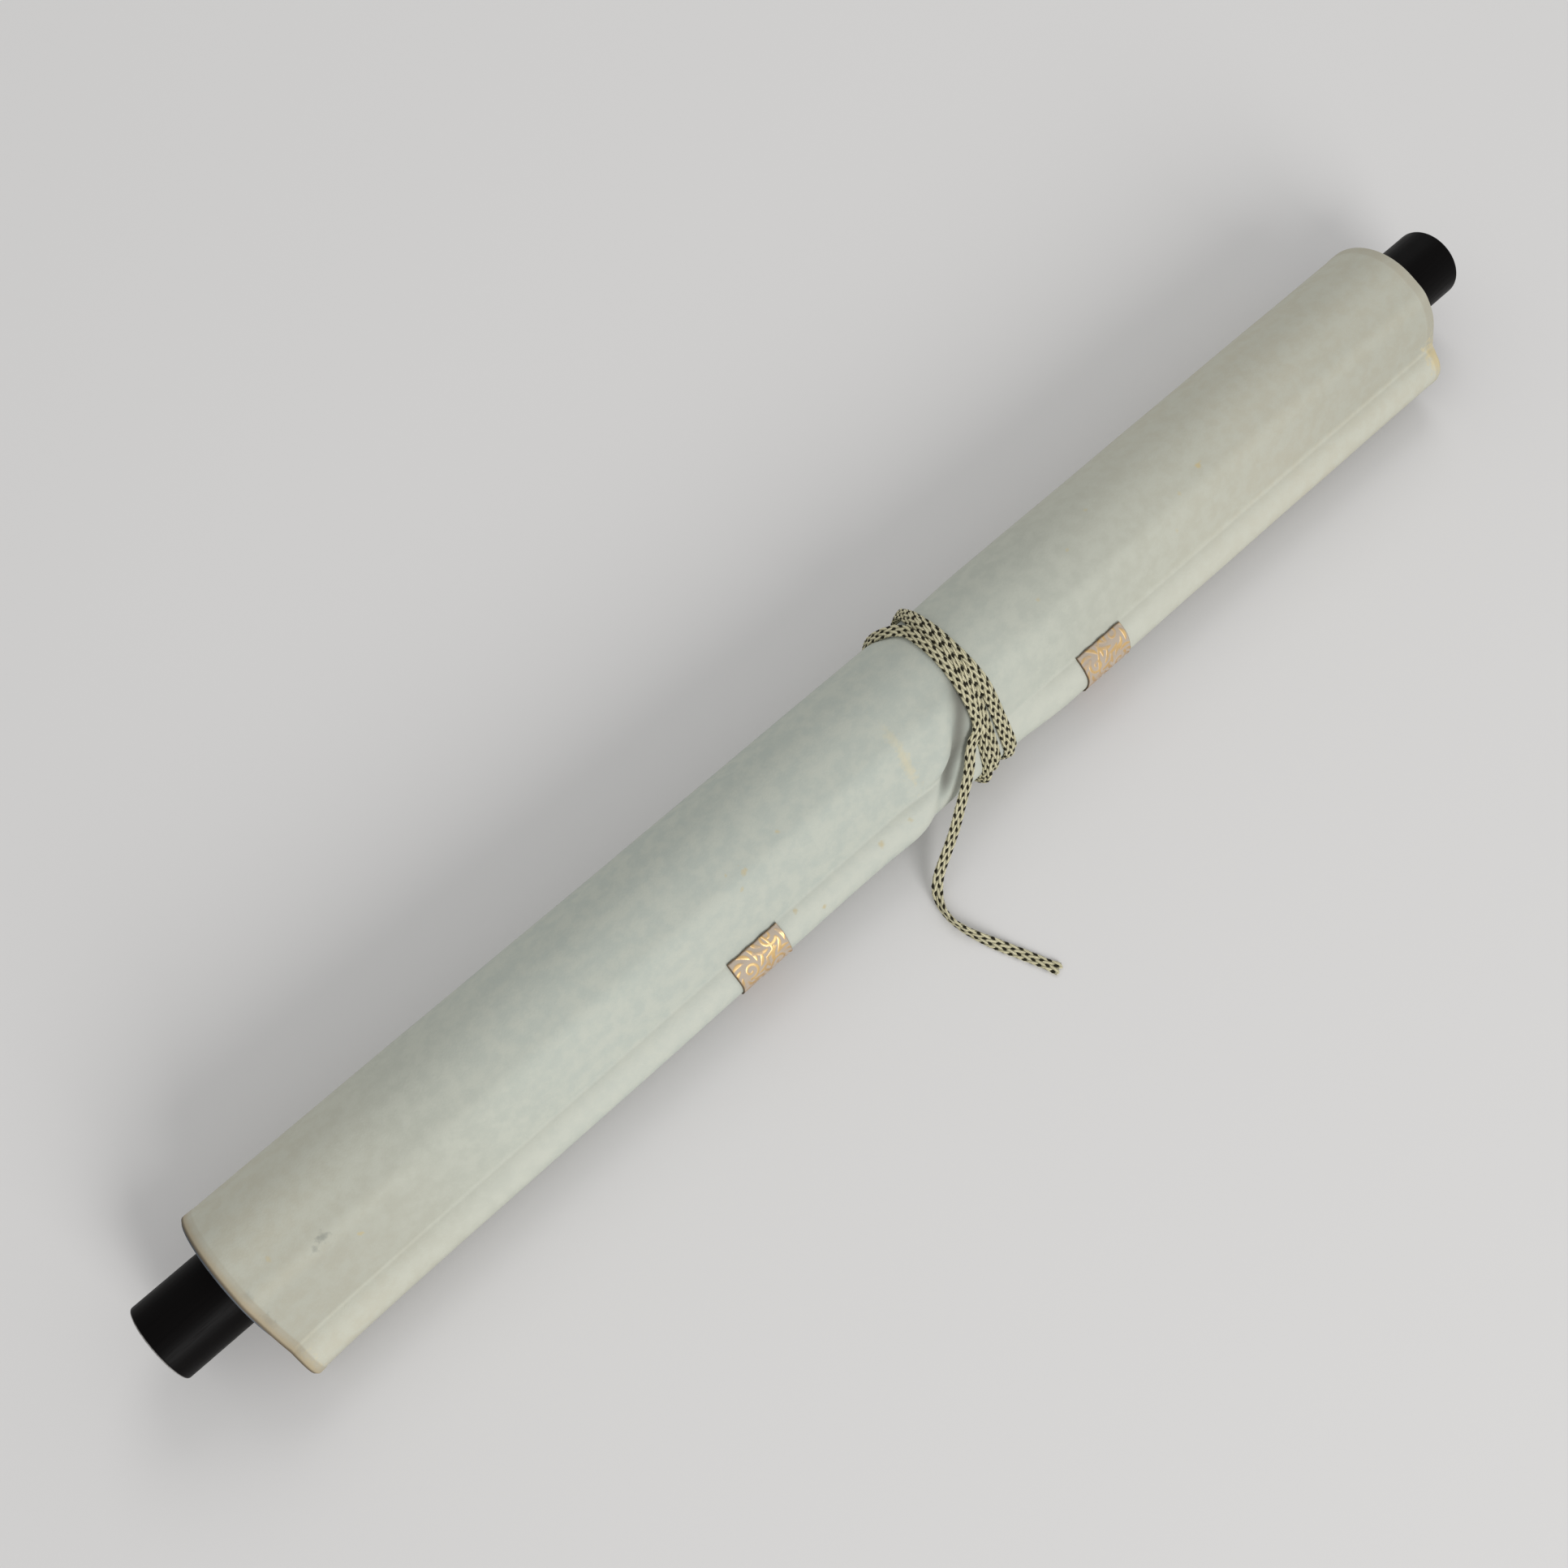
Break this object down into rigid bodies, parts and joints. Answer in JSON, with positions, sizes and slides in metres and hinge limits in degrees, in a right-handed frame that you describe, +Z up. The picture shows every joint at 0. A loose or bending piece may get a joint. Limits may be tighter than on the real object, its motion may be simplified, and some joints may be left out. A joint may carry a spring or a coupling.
{
  "type": "rolled hanging scroll",
  "caption": "Mounted hanging scroll rolled on a wooden roller with dark turned knobs, its stave folded in the outer edge, tied round the middle with a flecked braided cord.",
  "frame": {"origin": "on the table straight under the roller's axis, at the middle of the sheet's width", "axes": "+X along the roller towards the end nearer the cord, +Z up; the stave lies on the -Y side"},
  "size_m": [0.602, 0.129, 0.0514],
  "materials": {
    "sheet": "matt mounting paper, grey-green, foxed",
    "rod_wood": "plain softwood",
    "knob_lacquer": "near-black stained hardwood, satin",
    "stave_wood": "plain softwood",
    "brocade": "woven silk with a gold scroll pattern",
    "eyelet_brass": "dulled brass",
    "cord": "flat braid, cream with black flecks"
  },
  "bodies": {
    "root": {"rolled_sheet": "sheet", "roller_rod": "rod_wood", "roller_knob_left": "knob_lacquer", "roller_knob_right": "knob_lacquer", "top_stave": "stave_wood", "brocade_strip_left": "brocade", "brocade_strip_right": "brocade", "eyelet_left": "eyelet_brass", "eyelet_right": "eyelet_brass", "cord_lead": "cord", "cord_turns": "cord", "cord_tail": "cord"}
  },
  "joints": []
}
